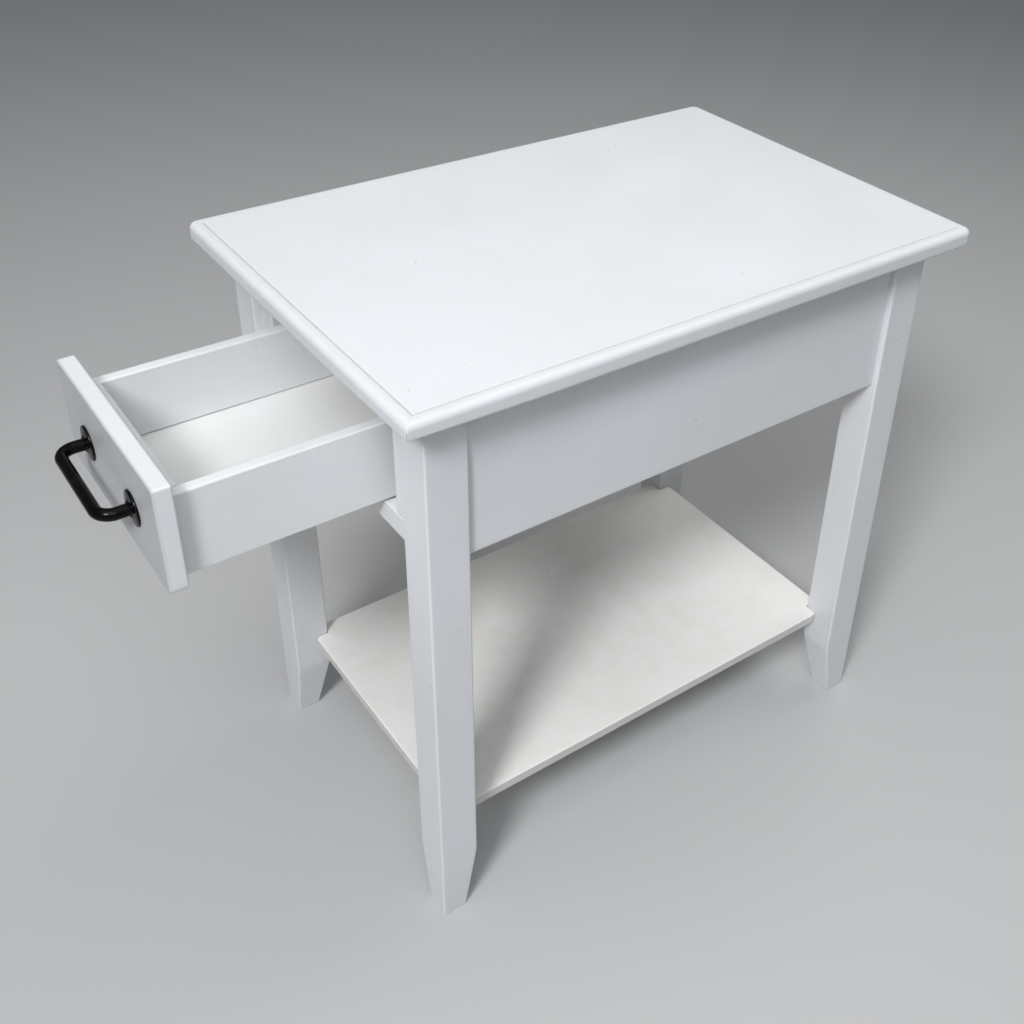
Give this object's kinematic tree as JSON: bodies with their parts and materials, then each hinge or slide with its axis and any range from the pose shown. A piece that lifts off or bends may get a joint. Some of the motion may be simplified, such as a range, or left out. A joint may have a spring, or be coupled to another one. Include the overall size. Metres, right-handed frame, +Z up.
{
  "type": "side table with drawer",
  "caption": "Narrow white side table on tapered square legs, with a low shelf and a drawer with a black bar pull sliding out of its short end.",
  "frame": {"origin": "on the floor, at the middle of the rectangle that the whole object covers with the drawer stored part open", "axes": "+Z up; +Y along the long side, from the drawer's front towards the back; +X across the short side, to the right when facing the drawer from outside"},
  "size_m": [0.412, 0.8068, 0.61],
  "materials": {
    "white_paint": "satin white paint on wood",
    "warm_white_paint": "satin warm white paint on wood",
    "bare_wood": "sanded bare pine",
    "black_metal": "satin black",
    "steel": "zinc-plated screw steel"
  },
  "bodies": {
    "table": {"top_panel": "white_paint", "top_edge_front": "white_paint", "top_edge_back": "white_paint", "top_edge_left": "white_paint", "top_edge_right": "white_paint", "leg_front_left": "white_paint", "leg_front_right": "white_paint", "leg_back_left": "white_paint", "leg_back_right": "white_paint", "apron_left": "white_paint", "apron_right": "white_paint", "apron_back": "white_paint", "front_upper_rail": "white_paint", "front_lower_rail": "white_paint", "front_stile_left": "white_paint", "front_stile_right": "white_paint", "shelf": "warm_white_paint", "drawer_runner_left": "bare_wood", "drawer_runner_right": "bare_wood", "drawer_guide_left": "bare_wood", "drawer_guide_right": "bare_wood", "drawer_kicker_left": "bare_wood", "drawer_kicker_right": "bare_wood", "drawer_stop_left": "bare_wood", "drawer_stop_right": "bare_wood", "top_cleat_left": "bare_wood", "top_cleat_right": "bare_wood", "cleat_screw_front_left": "steel", "cleat_screw_front_right": "steel", "cleat_screw_back_left": "steel", "cleat_screw_back_right": "steel"},
    "drawer": {"drawer_front": "white_paint", "drawer_side_left": "warm_white_paint", "drawer_side_right": "warm_white_paint", "drawer_inner_front": "warm_white_paint", "drawer_back": "warm_white_paint", "drawer_bottom": "warm_white_paint", "drawer_out_stop": "bare_wood", "pull_bar": "black_metal", "pull_rosette_left": "black_metal", "pull_rosette_right": "black_metal", "pull_screw_left": "steel", "pull_screw_right": "steel", "front_screw_left": "steel", "front_screw_right": "steel"}
  },
  "joints": [
    {"name": "drawer_slide", "type": "slide", "parent": "table", "child": "drawer", "axis": [0, -1, 0], "range_m": [-0.191, 0.183]}
  ]
}
